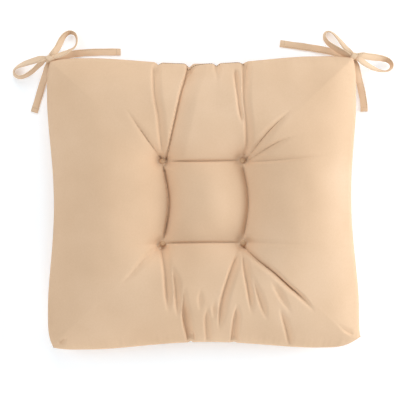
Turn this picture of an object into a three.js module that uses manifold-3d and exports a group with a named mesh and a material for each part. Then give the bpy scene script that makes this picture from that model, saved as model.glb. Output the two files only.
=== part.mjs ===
// A tufted seat cushion with a bow of fabric tape tied at each rear corner.
// Millimetres, +Z up, -Y is the front edge and +Y is the rear edge, where the tapes are sewn in.
// The origin is on the resting surface, under the middle of the cushion.
import * as THREE from "three";
import { mergeVertices } from "three/addons/utils/BufferGeometryUtils.js";
import Module from "manifold-3d";

// Driving dimensions of the padded body.
const WIDTH = 432;
const DEPTH = 406;
const LOFT = 76;
const SEAM_Z = 31;
const SIDE_PULL = 9; // how far the middle of each side is drawn in
const CORNER_TUCK = 8; // how far each corner tip sits inside the bulge beside it
const BULGE_AT = 0.75; // where along a side it stands furthest out, from 0 at mid-side to 1 at the corner
const CROWN_POWER = 3.3; // larger is boxier
const RESTING_SHARE = 1.35; // above 1, this much more of the underside lies level
const CLOTH = 1.2; // thickness of a cover
const FULL_DEPTH_RISE = 10; // a cover has its full thickness this far above or below the seam
const GAP = 0.4; // clearance between neighbouring pieces

// The four tufts.
const TUFT_SPACING_X = 111;
const TUFT_SPACING_Y = 114;
const TUFT_TOP_Z = 44; // the upper cover is drawn down to this height
const TUFT_BOTTOM_Z = 12; // the lower cover is drawn up to this height
const TUFT_FLAT = 11; // radius of the level floor of each dimple
const TUFT_REACH_TOP = 62; // radius at which a dimple in the upper cover has faded out
const TUFT_REACH_BOTTOM = 40; // the same for the lower cover
const TUFT_FACET = 7; // spacing of the mesh lines beside each tuft
const BUTTON_RADIUS = 4.2;
const BUTTON_HEIGHT = 3.4;
const CORD_RADIUS = 0.8;
const CORD_HOLE_RADIUS = 1.4;

// The tape ties.
const TAPE_WIDTH = 10;
const TAPE_THICKNESS = 1.2;
const TAPE_GATHERED = 0.45; // share of its width that a tape keeps where it enters the knot
const TAPE_GATHER_LENGTH = 14;
const TAPE_STEP = 6;
const LOOP_LEAN = THREE.MathUtils.degToRad(55);
const KNOT_RADIUS = 5;
const KNOT_X = 213;
const KNOT_Y = 202;
const ROOT_WIDTH = 4;
const ROOT_OFFSET_Z = 0.9; // half the distance between the two sewn ends, one above the other

const COLOURS = { cover: 0xe2c2a2, fill: 0xf4f1ea, button: 0xcda981, cord: 0xd9c6ab, tape: 0xe6cbab };

// Routes of the tapes, from the knot outward; a loop comes back to the knot.
const LEFT_UPPER_LOOP = [
  [-210, 207.5, 33], [-205.5, 212, 31.5], [-202, 218, 26.5], [-199.3, 225.5, 20.5], [-196.5, 233, 14.5],
  [-192.5, 239.7, 9.5], [-186.3, 243.5, 6.8], [-180, 241.7, 6], [-177, 236.1, 6.5], [-176.7, 227.9, 10],
  [-179.5, 221, 15.5], [-184.8, 215.8, 21.5], [-191, 211.3, 27], [-198.5, 207.3, 31], [-207.2, 203.8, 33],
];
const LEFT_SIDE_LOOP = [
  [-218.9, 203.8, 33], [-226, 202.6, 31.5], [-233.5, 201, 26.5], [-242, 199.6, 20.5],
  [-251.5, 197.8, 14.5], [-260.2, 195, 9.5], [-265.6, 190.2, 6.8], [-265, 184, 6], [-259, 180.5, 6.5],
  [-251.2, 181.2, 10], [-242.6, 184.5, 15.5], [-235, 189, 21.5], [-228.8, 193.3, 27], [-223.3, 197, 31],
  [-218.7, 199.9, 33],
];
const LEFT_LONG_TAIL = [
  [-207, 201.6, 28], [-202.8, 203.4, 25], [-198, 205.8, 20], [-193.5, 208.4, 14], [-189, 210.8, 8.5],
  [-184, 212.7, 4.6], [-178.5, 214.1, 2.2], [-172, 215, 1.2], [-165, 215.6, 0.9], [-157, 216, 0.9],
  [-149, 216.2, 0.9], [-140.5, 216.3, 0.9], [-132, 216.2, 0.9], [-123.3, 216.2, 0.9], [-114.7, 216.1, 0.9],
];
const LEFT_SHORT_TAIL = [
  [-214.4, 196, 28], [-215.8, 191.5, 25], [-217.5, 187.3, 20.5], [-219.5, 183.4, 15.5],
  [-221.6, 179.6, 10.5], [-223.7, 175.4, 6.5], [-225.8, 170.8, 3.6], [-227.6, 165.9, 1.9],
  [-229.2, 160.8, 1.1], [-230.7, 155.6, 0.9], [-232.3, 150.4, 0.9], [-233.8, 145.2, 0.9],
  [-235.3, 140.4, 0.9], [-236.7, 135.7, 0.9], [-238.2, 130.9, 0.9],
];
const RIGHT_UPPER_LOOP = [
  [209.8, 207.3, 33], [205.5, 211, 31.5], [202, 216, 26.5], [198.8, 222.3, 20.5], [195.2, 229, 14.5],
  [191, 235.3, 9.5], [185.6, 240.5, 6.8], [180.1, 242, 6], [176.1, 238.9, 6.8], [175.2, 232.3, 10.5],
  [178.1, 225.3, 15.5], [183, 219.3, 21.5], [189.3, 213.8, 27], [198, 208, 31], [207.2, 203.7, 33],
];
const RIGHT_SIDE_LOOP = [
  [218.9, 203.4, 33], [225.5, 203.3, 31.5], [232.5, 203, 26.5], [240.5, 202.9, 20.5], [248.5, 202.8, 14.5],
  [256.5, 202.3, 9.5], [264.4, 200.3, 6.8], [269.8, 195.3, 6], [269.5, 189.2, 6.5], [262.9, 184.7, 9],
  [253.5, 184.6, 13], [244.5, 186.6, 18.5], [235.7, 189.6, 24.5], [226.8, 194, 30], [218.7, 199.5, 33],
];
const RIGHT_LONG_TAIL = [
  [207, 201.4, 28], [202.8, 203.2, 25], [198, 205.9, 20], [193, 209, 14], [187.5, 212, 8.5],
  [180.5, 214.5, 4.6], [173, 216.5, 2.2], [165.5, 218.1, 1.2], [158, 219.4, 0.9], [150.5, 220.6, 0.9],
  [143, 221.8, 0.9], [135.5, 222.9, 0.9], [128, 224, 0.9], [120.3, 225.2, 0.9], [112.4, 226.4, 0.9],
];
const RIGHT_SHORT_TAIL = [
  [214.8, 196, 28], [216.5, 191, 25], [218.6, 185.5, 20.5], [220.3, 181, 15.5], [222, 176.5, 10.5],
  [223.7, 171.8, 6.5], [225.3, 167, 3.6], [226.7, 162, 1.9], [227.8, 157.3, 1.1], [228.7, 152.6, 0.9],
  [229.5, 147.8, 0.9], [230.2, 143, 0.9], [230.7, 138.2, 0.9], [230.9, 133.4, 0.9], [230.9, 128.2, 0.9],
];

const part = new THREE.Group();
const wasm = await Module();
wasm.setup();

function addMesh(name, geometry, colour, roughness = 0.9) {
  const material = new THREE.MeshStandardMaterial({ color: colour, roughness, metalness: 0 });
  const mesh = new THREE.Mesh(geometry, material);
  mesh.name = name;
  part.add(mesh);
  return mesh;
}

// ---------------------------------------------------------------- solids that are cut

function toSolid(geometry) {
  const bare = geometry.clone();
  bare.deleteAttribute("normal");
  bare.deleteAttribute("uv");
  const merged = mergeVertices(bare);
  return new wasm.Manifold(new wasm.Mesh({
    numProp: 3,
    vertProperties: merged.attributes.position.array,
    triVerts: new Uint32Array(merged.index.array),
  }));
}

function toGeometry(solid) {
  const { vertProperties, triVerts } = solid.getMesh();
  const geometry = new THREE.BufferGeometry();
  geometry.setAttribute("position", new THREE.BufferAttribute(vertProperties, 3));
  geometry.setIndex(new THREE.BufferAttribute(triVerts, 1));
  return geometry;
}

function meshFrom(points, faces) {
  const geometry = new THREE.BufferGeometry();
  geometry.setAttribute("position", new THREE.Float32BufferAttribute(points.flat(), 3));
  geometry.setIndex(faces.flat());
  return geometry;
}

// ---------------------------------------------------------------- shape of the padded body

// Half the breadth at t along the other way: drawn in at the middle, widest at BULGE_AT, tucked at the corner.
function halfBreadth(full, t) {
  const along = Math.abs(t) / BULGE_AT;
  const drawnIn = along < 1 ? SIDE_PULL * (1 - along ** 2) ** 2 : 0;
  const past = Math.max(0, (Math.abs(t) - BULGE_AT) / (1 - BULGE_AT));
  return full / 2 - drawnIn - CORNER_TUCK * past ** 2;
}

function plan(u, v) {
  return [u * halfBreadth(WIDTH, v), v * halfBreadth(DEPTH, u)];
}

// The fractions (u, v) of the tuft at +X, +Y.
function tuftFractions() {
  let u = TUFT_SPACING_X / WIDTH;
  let v = TUFT_SPACING_Y / DEPTH;
  for (let round = 0; round < 4; round += 1) {
    const nextU = TUFT_SPACING_X / 2 / halfBreadth(WIDTH, v);
    v = TUFT_SPACING_Y / 2 / halfBreadth(DEPTH, u);
    u = nextU;
  }
  return [u, v];
}

const TUFTS = [
  ["rear_left", -TUFT_SPACING_X / 2, TUFT_SPACING_Y / 2],
  ["rear_right", TUFT_SPACING_X / 2, TUFT_SPACING_Y / 2],
  ["front_left", -TUFT_SPACING_X / 2, -TUFT_SPACING_Y / 2],
  ["front_right", TUFT_SPACING_X / 2, -TUFT_SPACING_Y / 2],
];

// 1 on the floor of a dimple, 0 beyond its reach.
function dimple(x, y, reach) {
  return TUFTS.reduce((most, [, tuftX, tuftY]) => {
    const r = Math.hypot(x - tuftX, y - tuftY);
    const t = THREE.MathUtils.clamp((r - TUFT_FLAT) / (reach - TUFT_FLAT), 0, 1);
    return Math.max(most, (1 - t) ** 2);
  }, 0);
}

function crown(u, v) {
  return Math.sqrt((1 - Math.abs(u) ** CROWN_POWER) * (1 - Math.abs(v) ** CROWN_POWER));
}

// Height of the upper cover above the seam.
function riseAbove(u, v) {
  const [x, y] = plan(u, v);
  const full = (LOFT - SEAM_Z) * crown(u, v);
  return THREE.MathUtils.lerp(full, TUFT_TOP_Z - SEAM_Z, dimple(x, y, TUFT_REACH_TOP));
}

// Depth of the lower cover below the seam; it lies level where it rests.
function dropBelow(u, v) {
  const [x, y] = plan(u, v);
  const full = SEAM_Z * Math.min(1, RESTING_SHARE * crown(u, v));
  return THREE.MathUtils.lerp(full, SEAM_Z - TUFT_BOTTOM_Z, dimple(x, y, TUFT_REACH_BOTTOM));
}

// Mesh lines from the middle to the edge, with three of them across each tuft.
function meshLines(tuft, facet) {
  const half = [0.13, tuft - facet, tuft, tuft + facet, 0.46, 0.61, BULGE_AT, 0.86, 0.95, 1];
  return [...half.map((value) => -value).reverse(), 0, ...half];
}

const [TUFT_U, TUFT_V] = tuftFractions();
const LINES_U = meshLines(TUFT_U, (2 * TUFT_FACET) / WIDTH);
const LINES_V = meshLines(TUFT_V, (2 * TUFT_FACET) / DEPTH);

// One skin of the body: inset draws it in sideways, depth moves it towards the seam away from the rim,
// and rimGap keeps it clear of the seam plane.
function skin(side, inset, depth, rimGap) {
  const height = side > 0 ? riseAbove : dropBelow;
  const shrink = 1 - (2 * inset) / WIDTH;
  return LINES_V.flatMap((v) => LINES_U.map((u) => {
    const [x, y] = plan(u, v);
    const rise = height(u, v);
    const inward = depth * Math.min(1, rise / FULL_DEPTH_RISE);
    return [x * shrink, y * shrink, SEAM_Z + side * Math.max(rimGap, rise - inward)];
  }));
}

// Faces of a grid skin; facing is +1 when its outside looks up. Both facings share their diagonals.
function skinFaces(first, facing) {
  const across = LINES_U.length;
  const faces = [];
  for (let row = 0; row + 1 < LINES_V.length; row += 1) {
    for (let column = 0; column + 1 < across; column += 1) {
      const a = first + row * across + column;
      const [b, c, d] = [a + 1, a + 1 + across, a + across];
      faces.push(...(facing > 0 ? [[a, b, c], [a, c, d]] : [[a, c, b], [a, d, c]]));
    }
  }
  return faces;
}

// Grid indices once round the rim, anticlockwise from above.
function rimLoop() {
  const across = LINES_U.length;
  const up = LINES_V.length;
  const loop = [];
  for (let i = 0; i < across - 1; i += 1) loop.push(i);
  for (let i = 0; i < up - 1; i += 1) loop.push(i * across + across - 1);
  for (let i = across - 1; i > 0; i -= 1) loop.push((up - 1) * across + i);
  for (let i = up - 1; i > 0; i -= 1) loop.push(i * across);
  return loop;
}

// A cover: an outer skin and an inner skin joined by a flat rim.
function coverGeometry(side) {
  const outer = skin(side, 0, 0, GAP / 2);
  const inner = skin(side, CLOTH, CLOTH, GAP / 2);
  const faces = [...skinFaces(0, side), ...skinFaces(outer.length, -side)];
  const loop = rimLoop();
  loop.forEach((at, index) => {
    const next = loop[(index + 1) % loop.length];
    const ring = [next, at, at + outer.length, next + outer.length];
    const [p, q, r, s] = side > 0 ? ring : ring.reverse();
    faces.push([p, q, r], [p, r, s]);
  });
  return meshFrom([...outer, ...inner], faces);
}

// The fill: an upper and a lower skin that share their rim.
function fillGeometry() {
  const inset = CLOTH + GAP;
  const upper = skin(1, inset, inset, 0);
  const lower = skin(-1, inset, inset, 0);
  return meshFrom([...upper, ...lower], [...skinFaces(0, 1), ...skinFaces(upper.length, -1)]);
}

function withCordHoles(geometry) {
  const hole = new THREE.CylinderGeometry(CORD_HOLE_RADIUS, CORD_HOLE_RADIUS, 2 * LOFT, 10);
  hole.rotateX(Math.PI / 2);
  return toGeometry(TUFTS.reduce((solid, [, x, y]) => {
    return solid.subtract(toSolid(hole.clone().translate(x, y, 0)));
  }, toSolid(geometry)));
}

// ---------------------------------------------------------------- tufts

// A small covered button, flat face down at z = 0.
function buttonGeometry() {
  const profile = [
    [0, 0], [BUTTON_RADIUS * 0.85, 0], [BUTTON_RADIUS, BUTTON_HEIGHT * 0.35],
    [BUTTON_RADIUS * 0.72, BUTTON_HEIGHT * 0.82], [0, BUTTON_HEIGHT],
  ];
  const geometry = new THREE.LatheGeometry(profile.map(([r, z]) => new THREE.Vector2(r, z)), 12);
  return geometry.rotateX(Math.PI / 2);
}

function addTuft([place, x, y]) {
  const top = addMesh(`tuft_button_top_${place}`, buttonGeometry(), COLOURS.button);
  top.position.set(x, y, TUFT_TOP_Z + GAP);
  const bottom = addMesh(`tuft_button_bottom_${place}`, buttonGeometry(), COLOURS.button);
  bottom.rotation.x = Math.PI;
  bottom.position.set(x, y, TUFT_BOTTOM_Z - GAP);
  const length = TUFT_TOP_Z - TUFT_BOTTOM_Z;
  const cord = new THREE.CylinderGeometry(CORD_RADIUS, CORD_RADIUS, length, 8);
  const tufting = addMesh(`tufting_cord_${place}`, cord, COLOURS.cord);
  tufting.rotation.x = Math.PI / 2;
  tufting.position.set(x, y, TUFT_BOTTOM_Z + length / 2);
}

// ---------------------------------------------------------------- tapes

// How wide the tape is, as a share of TAPE_WIDTH, at a distance from the knot.
function gathered(distance) {
  const t = THREE.MathUtils.smoothstep(distance, 0, TAPE_GATHER_LENGTH);
  return THREE.MathUtils.lerp(TAPE_GATHERED, 1, t);
}

function tapeSection(width) {
  const a = width / 2;
  const b = TAPE_THICKNESS / 2;
  const c = a - b;
  return [[a, -b / 2], [a, b / 2], [c, b], [-c, b], [-a, b / 2], [-a, -b / 2], [-c, -b], [c, -b]];
}

// A flat tape swept along a route; lean tips it from lying flat towards standing on its edge.
function tapeGeometry(route, lean, bothEndsGathered) {
  const curve = new THREE.CatmullRomCurve3(route.map((point) => new THREE.Vector3(...point)));
  const length = curve.getLength();
  const steps = Math.round(length / TAPE_STEP);
  const points = [];
  const faces = [];
  for (let step = 0; step <= steps; step += 1) {
    const along = step / steps;
    const distance = (bothEndsGathered ? Math.min(along, 1 - along) : along) * length;
    const centre = curve.getPointAt(along);
    const forward = curve.getTangentAt(along);
    const level = new THREE.Vector3(-forward.y, forward.x, 0).normalize();
    const across = level.clone().applyAxisAngle(forward, lean);
    const out = forward.clone().cross(across);
    tapeSection(TAPE_WIDTH * gathered(distance)).forEach(([x, y]) => {
      points.push(centre.clone().addScaledVector(across, x).addScaledVector(out, y).toArray());
    });
  }
  const sides = tapeSection(TAPE_WIDTH).length;
  for (let step = 0; step < steps; step += 1) {
    for (let side = 0; side < sides; side += 1) {
      const a = step * sides + side;
      const b = step * sides + ((side + 1) % sides);
      faces.push([a, b, b + sides], [a, b + sides, a + sides]);
    }
  }
  const last = steps * sides;
  for (let side = 1; side + 1 < sides; side += 1) {
    faces.push([0, side + 1, side], [last, last + side, last + side + 1]);
  }
  return meshFrom(points, faces);
}

// The two sewn ends of the tapes, one above the other, between the corner tip and the knot.
function addRoots(hand, side) {
  const [tipX, tipY] = plan(side, 1);
  const reachX = side * KNOT_X - tipX;
  const reachY = KNOT_Y - tipY;
  const reach = Math.hypot(reachX, reachY);
  const near = 2 * GAP;
  const far = reach - KNOT_RADIUS - GAP;
  const middle = (near + far) / 2 / reach;
  [["lower", -ROOT_OFFSET_Z], ["upper", ROOT_OFFSET_Z]].forEach(([level, offset]) => {
    const strip = new THREE.BoxGeometry(far - near, ROOT_WIDTH, TAPE_THICKNESS);
    const root = addMesh(`${hand}_tie_root_${level}`, strip, COLOURS.tape);
    root.rotation.z = Math.atan2(reachY, reachX);
    root.position.set(tipX + reachX * middle, tipY + reachY * middle, SEAM_Z + offset);
  });
}

function addBow(hand, side, routes) {
  const knot = addMesh(`${hand}_tie_knot`, new THREE.SphereGeometry(KNOT_RADIUS, 12, 8), COLOURS.tape);
  knot.position.set(side * KNOT_X, KNOT_Y, SEAM_Z);
  addRoots(hand, side);
  addMesh(`${hand}_tie_upper_loop`, tapeGeometry(routes.upperLoop, LOOP_LEAN, true), COLOURS.tape);
  addMesh(`${hand}_tie_side_loop`, tapeGeometry(routes.sideLoop, LOOP_LEAN, true), COLOURS.tape);
  addMesh(`${hand}_tie_long_tail`, tapeGeometry(routes.longTail, 0, false), COLOURS.tape);
  addMesh(`${hand}_tie_short_tail`, tapeGeometry(routes.shortTail, 0, false), COLOURS.tape);
}

// ---------------------------------------------------------------- assembly

addMesh("cover_top", withCordHoles(coverGeometry(1)), COLOURS.cover);
addMesh("cover_bottom", withCordHoles(coverGeometry(-1)), COLOURS.cover);
addMesh("fibre_fill", withCordHoles(fillGeometry()), COLOURS.fill, 1);
TUFTS.forEach(addTuft);
addBow("left", -1, {
  upperLoop: LEFT_UPPER_LOOP,
  sideLoop: LEFT_SIDE_LOOP,
  longTail: LEFT_LONG_TAIL,
  shortTail: LEFT_SHORT_TAIL,
});
addBow("right", 1, {
  upperLoop: RIGHT_UPPER_LOOP,
  sideLoop: RIGHT_SIDE_LOOP,
  longTail: RIGHT_LONG_TAIL,
  shortTail: RIGHT_SHORT_TAIL,
});

export default part;
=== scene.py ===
"""A tufted seat cushion with a tape bow tied at each rear corner, lying on a pale floor."""

import math

import bpy
import numpy as np
from mathutils import Matrix, Vector


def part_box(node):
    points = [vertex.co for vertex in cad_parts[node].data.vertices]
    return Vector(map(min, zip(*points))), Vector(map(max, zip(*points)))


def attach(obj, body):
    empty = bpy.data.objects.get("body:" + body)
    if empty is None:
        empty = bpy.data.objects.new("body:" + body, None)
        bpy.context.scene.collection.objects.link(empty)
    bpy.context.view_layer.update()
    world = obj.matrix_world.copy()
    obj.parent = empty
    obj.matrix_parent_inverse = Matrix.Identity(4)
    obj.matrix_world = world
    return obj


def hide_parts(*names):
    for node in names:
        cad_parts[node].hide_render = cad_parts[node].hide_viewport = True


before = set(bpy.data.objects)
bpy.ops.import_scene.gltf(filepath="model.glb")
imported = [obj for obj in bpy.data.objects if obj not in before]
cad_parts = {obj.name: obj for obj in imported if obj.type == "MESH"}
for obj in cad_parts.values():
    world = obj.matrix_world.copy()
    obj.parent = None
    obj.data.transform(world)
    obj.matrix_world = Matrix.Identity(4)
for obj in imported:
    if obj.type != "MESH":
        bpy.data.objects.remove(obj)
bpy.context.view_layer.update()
MM = 0.001


# ---- dimensions, from the frame

def centre_of(node):
    low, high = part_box(node)
    return (Vector(low) + Vector(high)) / 2


def size_of(node):
    low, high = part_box(node)
    return Vector(high) - Vector(low)


WIDTH, DEPTH = size_of("cover_top")[:2]
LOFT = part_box("cover_top")[1][2]
SEAM_Z = (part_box("cover_top")[0][2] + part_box("cover_bottom")[1][2]) / 2
PLACES = ("rear_left", "rear_right", "front_left", "front_right")
TUFTS = {place: centre_of("tuft_button_top_" + place) for place in PLACES}
TUFT_TOP_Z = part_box("tuft_button_top_rear_left")[0][2]
TUFT_BOTTOM_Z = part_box("tuft_button_bottom_rear_left")[1][2]
BUTTON_RADIUS = size_of("tuft_button_top_rear_left")[0] / 2
BUTTON_HEIGHT = size_of("tuft_button_top_rear_left")[2]

# Outline of the covers.
SIDE_PULL = 9 * MM  # how far each side is drawn in at its middle
CORNER_TUCK = 6 * MM  # and how far at the corner
CORNER_TUCK_POWER = 4.5
BULGE_AT = 0.75  # where a side is widest, from 0 at its middle to 1 at the corner
# How far each corner, named by its signs in x and y, is shifted in x and y, in mm.
CORNER_SHIFTS = {
    (-1, 1): (-1.5, 1.6),
    (1, 1): (2.7, 3.6),
    (-1, -1): (1.5, -2.8),
    (1, -1): (7.8, 8.9),
}
# Where pleats draw the seam in: x, depth and half-width, in mm.
REAR_NOTCHES = ((-60, 4, 6), (-17, 6, 7), (21, 4, 6), (58, 3, 8))
FRONT_NOTCHES = ((-18, 2.5, 4), (42, 1.5, 7))
NOTCH_POWER = 12  # how quickly a notch fades inward from the seam
# Fullness of the covers.
CROWN_POWER = 3.0  # the higher, the flatter the middle and the steeper the sides
HIP = 0.3  # how sharp the hip from each corner inward is, from 0 to 1
REAR_RIGHT_HIP = 0.6
FULLNESS = 4 * MM  # how far the cover would rise above the loft with nothing to hold it down
RESTING_SHARE = 1.35  # above 1, so that the underside lies flat on the floor over most of its breadth
COVER_THICKNESS = 2.4 * MM


# ---- camera

def add_camera():
    """Looks down from just in front of the cushion."""
    distance = 1.7
    view_width = 0.5572
    tilt = math.radians(2)
    roll = math.radians(-0.48)
    target = Vector((-0.0035, 0.0032, SEAM_Z))
    data = bpy.data.cameras.new("camera")
    data.sensor_width = 36
    data.lens = data.sensor_width * distance / view_width
    camera = bpy.data.objects.new("camera", data)
    bpy.context.scene.collection.objects.link(camera)
    camera.matrix_world = (
        Matrix.Translation(target)
        @ Matrix.Rotation(roll, 4, "Z")
        @ Matrix.Rotation(tilt, 4, "X")
        @ Matrix.Translation((0, 0, distance))
    )
    bpy.context.scene.camera = camera


# ---- meshes

def add_mesh(name, points, faces, materials, marks=None):
    """A smooth mesh object; marks gives each face its material."""
    mesh = bpy.data.meshes.new(name)
    mesh.from_pydata([tuple(map(float, point)) for point in points], [], faces)
    for material in materials:
        mesh.materials.append(material)
    if marks is not None:
        mesh.polygons.foreach_set("material_index", marks)
    mesh.shade_smooth()
    mesh.update()
    piece = bpy.data.objects.new(name, mesh)
    bpy.context.scene.collection.objects.link(piece)
    return piece


def grid_faces(ids, flip=False):
    corners = [ids[:-1, :-1], ids[:-1, 1:], ids[1:, 1:], ids[1:, :-1]]
    faces = np.stack([corner.ravel() for corner in corners], 1)
    return (faces[:, ::-1] if flip else faces).tolist()


def valley_faces(ids, heights, flip=False):
    """Grid faces, each cut along the diagonal that lies lower, so that a fold runs along its edges."""
    a, b, c, d = (part.ravel() for part in (ids[:-1, :-1], ids[:-1, 1:], ids[1:, 1:], ids[1:, :-1]))
    flat = heights.ravel()
    along = (flat[a] + flat[c] < flat[b] + flat[d])[:, None]
    first = np.where(along, np.stack([a, b, c], 1), np.stack([a, b, d], 1))
    second = np.where(along, np.stack([a, c, d], 1), np.stack([b, c, d], 1))
    faces = np.concatenate([first, second])
    return (faces[:, ::-1] if flip else faces).tolist()


def ring_faces(rings, count, first=0, turned=False):
    """Faces from each ring of count points to the next; turned makes them look the other way."""
    faces = []
    for ring in range(rings - 1):
        for corner in range(count):
            a = first + ring * count + corner
            b = first + ring * count + (corner + 1) % count
            faces.append((a, a + count, b + count, b) if turned else (a, b, b + count, a + count))
    return faces


def tube_faces(rings, count, first=0, turned=False):
    """The same, with a face over each end."""
    near = tuple(range(first, first + count))
    far = tuple(index + (rings - 1) * count for index in near)
    ends = [near, far[::-1]] if turned else [near[::-1], far]
    return ring_faces(rings, count, first, turned) + ends


def rim_mask(shape):
    rim = np.zeros(shape, bool)
    rim[[0, -1], :] = True
    rim[:, [0, -1]] = True
    return rim


def closed_pad(name, upper, lower, materials):
    """Two grids of points that share their rim, and the vertex that each of their points became."""
    rim = rim_mask(upper.shape[:2])
    upper_ids = np.arange(rim.size).reshape(rim.shape)
    lower_ids = upper_ids.copy()
    lower_ids[~rim] = rim.size + np.arange((~rim).sum())
    points = np.concatenate([upper.reshape(-1, 3), lower[~rim]])
    faces = grid_faces(upper_ids) + grid_faces(lower_ids, flip=True)
    return add_mesh(name, points, faces, materials), upper_ids, lower_ids


def enter(piece, node, body="cushion"):
    """Hides the CAD node that a piece stands in for and puts the piece on the body it rides on."""
    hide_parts(node)
    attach(piece, body)


def smooth_step(value, low, high):
    t = np.clip((value - low) / (high - low), 0, 1)
    return t * t * (3 - 2 * t)


def resampling(count, wanted):
    """Weights that resample a row of points smoothly and keep its ends."""
    at = np.linspace(0, count - 1, wanted)
    first = np.minimum(at.astype(int), count - 2)
    t = at - first
    shares = (
        -t / 2 + t**2 - t**3 / 2,
        1 - 2.5 * t**2 + 1.5 * t**3,
        t / 2 + 2 * t**2 - 1.5 * t**3,
        -t**2 / 2 + t**3 / 2,
    )
    weights = np.zeros((wanted, count + 2))
    for offset, share in enumerate(shares):
        weights[np.arange(wanted), first + offset] += share
    inner = weights[:, 1:-1].copy()
    inner[:, 0] += 2 * weights[:, 0]
    inner[:, 1] -= weights[:, 0]
    inner[:, -1] += 2 * weights[:, -1]
    inner[:, -2] -= weights[:, -1]
    return inner


def resampled(grid, rows, columns):
    down = resampling(grid.shape[0], rows)
    across = resampling(grid.shape[1], columns)
    return np.einsum("ai,bj,ijk->abk", down, across, grid, optimize=True)


def smooth_line(points, wanted):
    return resampling(len(points), wanted) @ np.array(points, float)


def distances_along(line):
    return np.concatenate([[0], np.cumsum(np.linalg.norm(np.diff(line, axis=0), axis=1))])


# ---- materials

def new_material(name):
    """A material, its nodes and links, its shader's sockets and the position on the object."""
    material = bpy.data.materials.new(name)
    material.use_nodes = True
    nodes = material.node_tree.nodes
    position = nodes.new("ShaderNodeTexCoord").outputs["Object"]
    return material, nodes, material.node_tree.links, nodes["Principled BSDF"].inputs, position


def colour_by(nodes, links, value, stops):
    """Colours the shader from a value, through a ramp with these stops."""
    ramp = nodes.new("ShaderNodeValToRGB")
    elements = ramp.color_ramp.elements
    while len(elements) < len(stops):
        elements.new(0.5)
    for element, (position, colour) in zip(elements, stops):
        element.position = position
        element.color = (*colour, 1)
    links.new(value, ramp.inputs["Fac"])
    links.new(ramp.outputs["Color"], nodes["Principled BSDF"].inputs["Base Color"])


def raise_by(nodes, links, height, distance, strength=1):
    """Gives the shader a bump from a height."""
    bump = nodes.new("ShaderNodeBump")
    bump.inputs["Strength"].default_value = strength
    bump.inputs["Distance"].default_value = distance
    links.new(height, bump.inputs["Height"])
    links.new(bump.outputs["Normal"], nodes["Principled BSDF"].inputs["Normal"])


def maths(nodes, links, operation, first, second):
    node = nodes.new("ShaderNodeMath")
    node.operation = operation
    for socket, value in zip(node.inputs, (first, second)):
        if isinstance(value, (int, float)):
            socket.default_value = value
        else:
            links.new(value, socket)
    return node.outputs[0]


def yarns(nodes, links, position, pitch, turn):
    """Bands one yarn apart across the cloth, 0 between yarns and 1 on top of them."""
    mapping = nodes.new("ShaderNodeMapping")
    mapping.inputs["Rotation"].default_value = turn
    links.new(position, mapping.inputs["Vector"])
    wave = nodes.new("ShaderNodeTexWave")
    wave.inputs["Scale"].default_value = math.pi / 10 / pitch
    wave.inputs["Distortion"].default_value = 0.6
    wave.inputs["Detail"].default_value = 1
    links.new(mapping.outputs[0], wave.inputs["Vector"])
    return wave.outputs["Fac"]


def noise(nodes, links, position, scale, detail=3, roughness=0.5):
    texture = nodes.new("ShaderNodeTexNoise")
    texture.inputs["Scale"].default_value = scale
    texture.inputs["Detail"].default_value = detail
    texture.inputs["Roughness"].default_value = roughness
    links.new(position, texture.inputs["Vector"])
    return texture.outputs["Fac"]


def cloth_material(name, dark, middle, light, pitch=0.55 * MM, sheen=0.04):
    """Plain-woven cotton: crossing yarns, slubs, and a slow drift of colour."""
    material, nodes, links, shader, position = new_material(name)
    warp = yarns(nodes, links, position, pitch, (0, math.radians(20), 0))
    weft = yarns(nodes, links, position, pitch, (0, math.radians(20), math.radians(90)))
    weave = maths(nodes, links, "MAXIMUM", warp, weft)
    cloudy = noise(nodes, links, position, 9)
    slubs = noise(nodes, links, position, 420, 2)
    mottle = maths(nodes, links, "MULTIPLY_ADD", slubs, 0.22)
    links.new(cloudy, mottle.node.inputs[2])
    tone = maths(nodes, links, "MULTIPLY_ADD", weave, 0.12)
    links.new(mottle, tone.node.inputs[2])
    colour_by(nodes, links, tone, [(0.38, dark), (0.72, middle), (1.0, light)])
    rough = nodes.new("ShaderNodeMapRange")
    rough.inputs["To Min"].default_value = 0.82
    rough.inputs["To Max"].default_value = 0.95
    links.new(slubs, rough.inputs["Value"])
    links.new(rough.outputs["Result"], shader["Roughness"])
    shader["Sheen Weight"].default_value = sheen
    shader["Sheen Roughness"].default_value = 0.5
    shader["Sheen Tint"].default_value = (1, 0.93, 0.84, 1)
    shader["Specular IOR Level"].default_value = 0.1
    height = maths(nodes, links, "MULTIPLY_ADD", slubs, 0.5)
    links.new(weave, height.node.inputs[2])
    raise_by(nodes, links, height, 0.12 * MM, strength=0.18)
    return material


def fibre_material():
    """Loose white polyester fibre."""
    material, nodes, links, shader, position = new_material("polyester_fibre")
    strands = noise(nodes, links, position, 260, 6, 0.7)
    colour_by(nodes, links, strands, [(0.3, (0.70, 0.69, 0.66)), (0.7, (0.9, 0.89, 0.87))])
    shader["Roughness"].default_value = 0.95
    raise_by(nodes, links, strands, 0.8 * MM)
    return material


def thread_material(name, dark, light):
    """Twisted sewing thread."""
    material, nodes, links, shader, position = new_material(name)
    twist = yarns(nodes, links, position, 0.5 * MM, (math.radians(45), math.radians(35), 0))
    colour_by(nodes, links, twist, [(0.0, dark), (1.0, light)])
    shader["Roughness"].default_value = 0.7
    raise_by(nodes, links, twist, 0.1 * MM)
    return material


FLOOR_GLOW = 0.19


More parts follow.
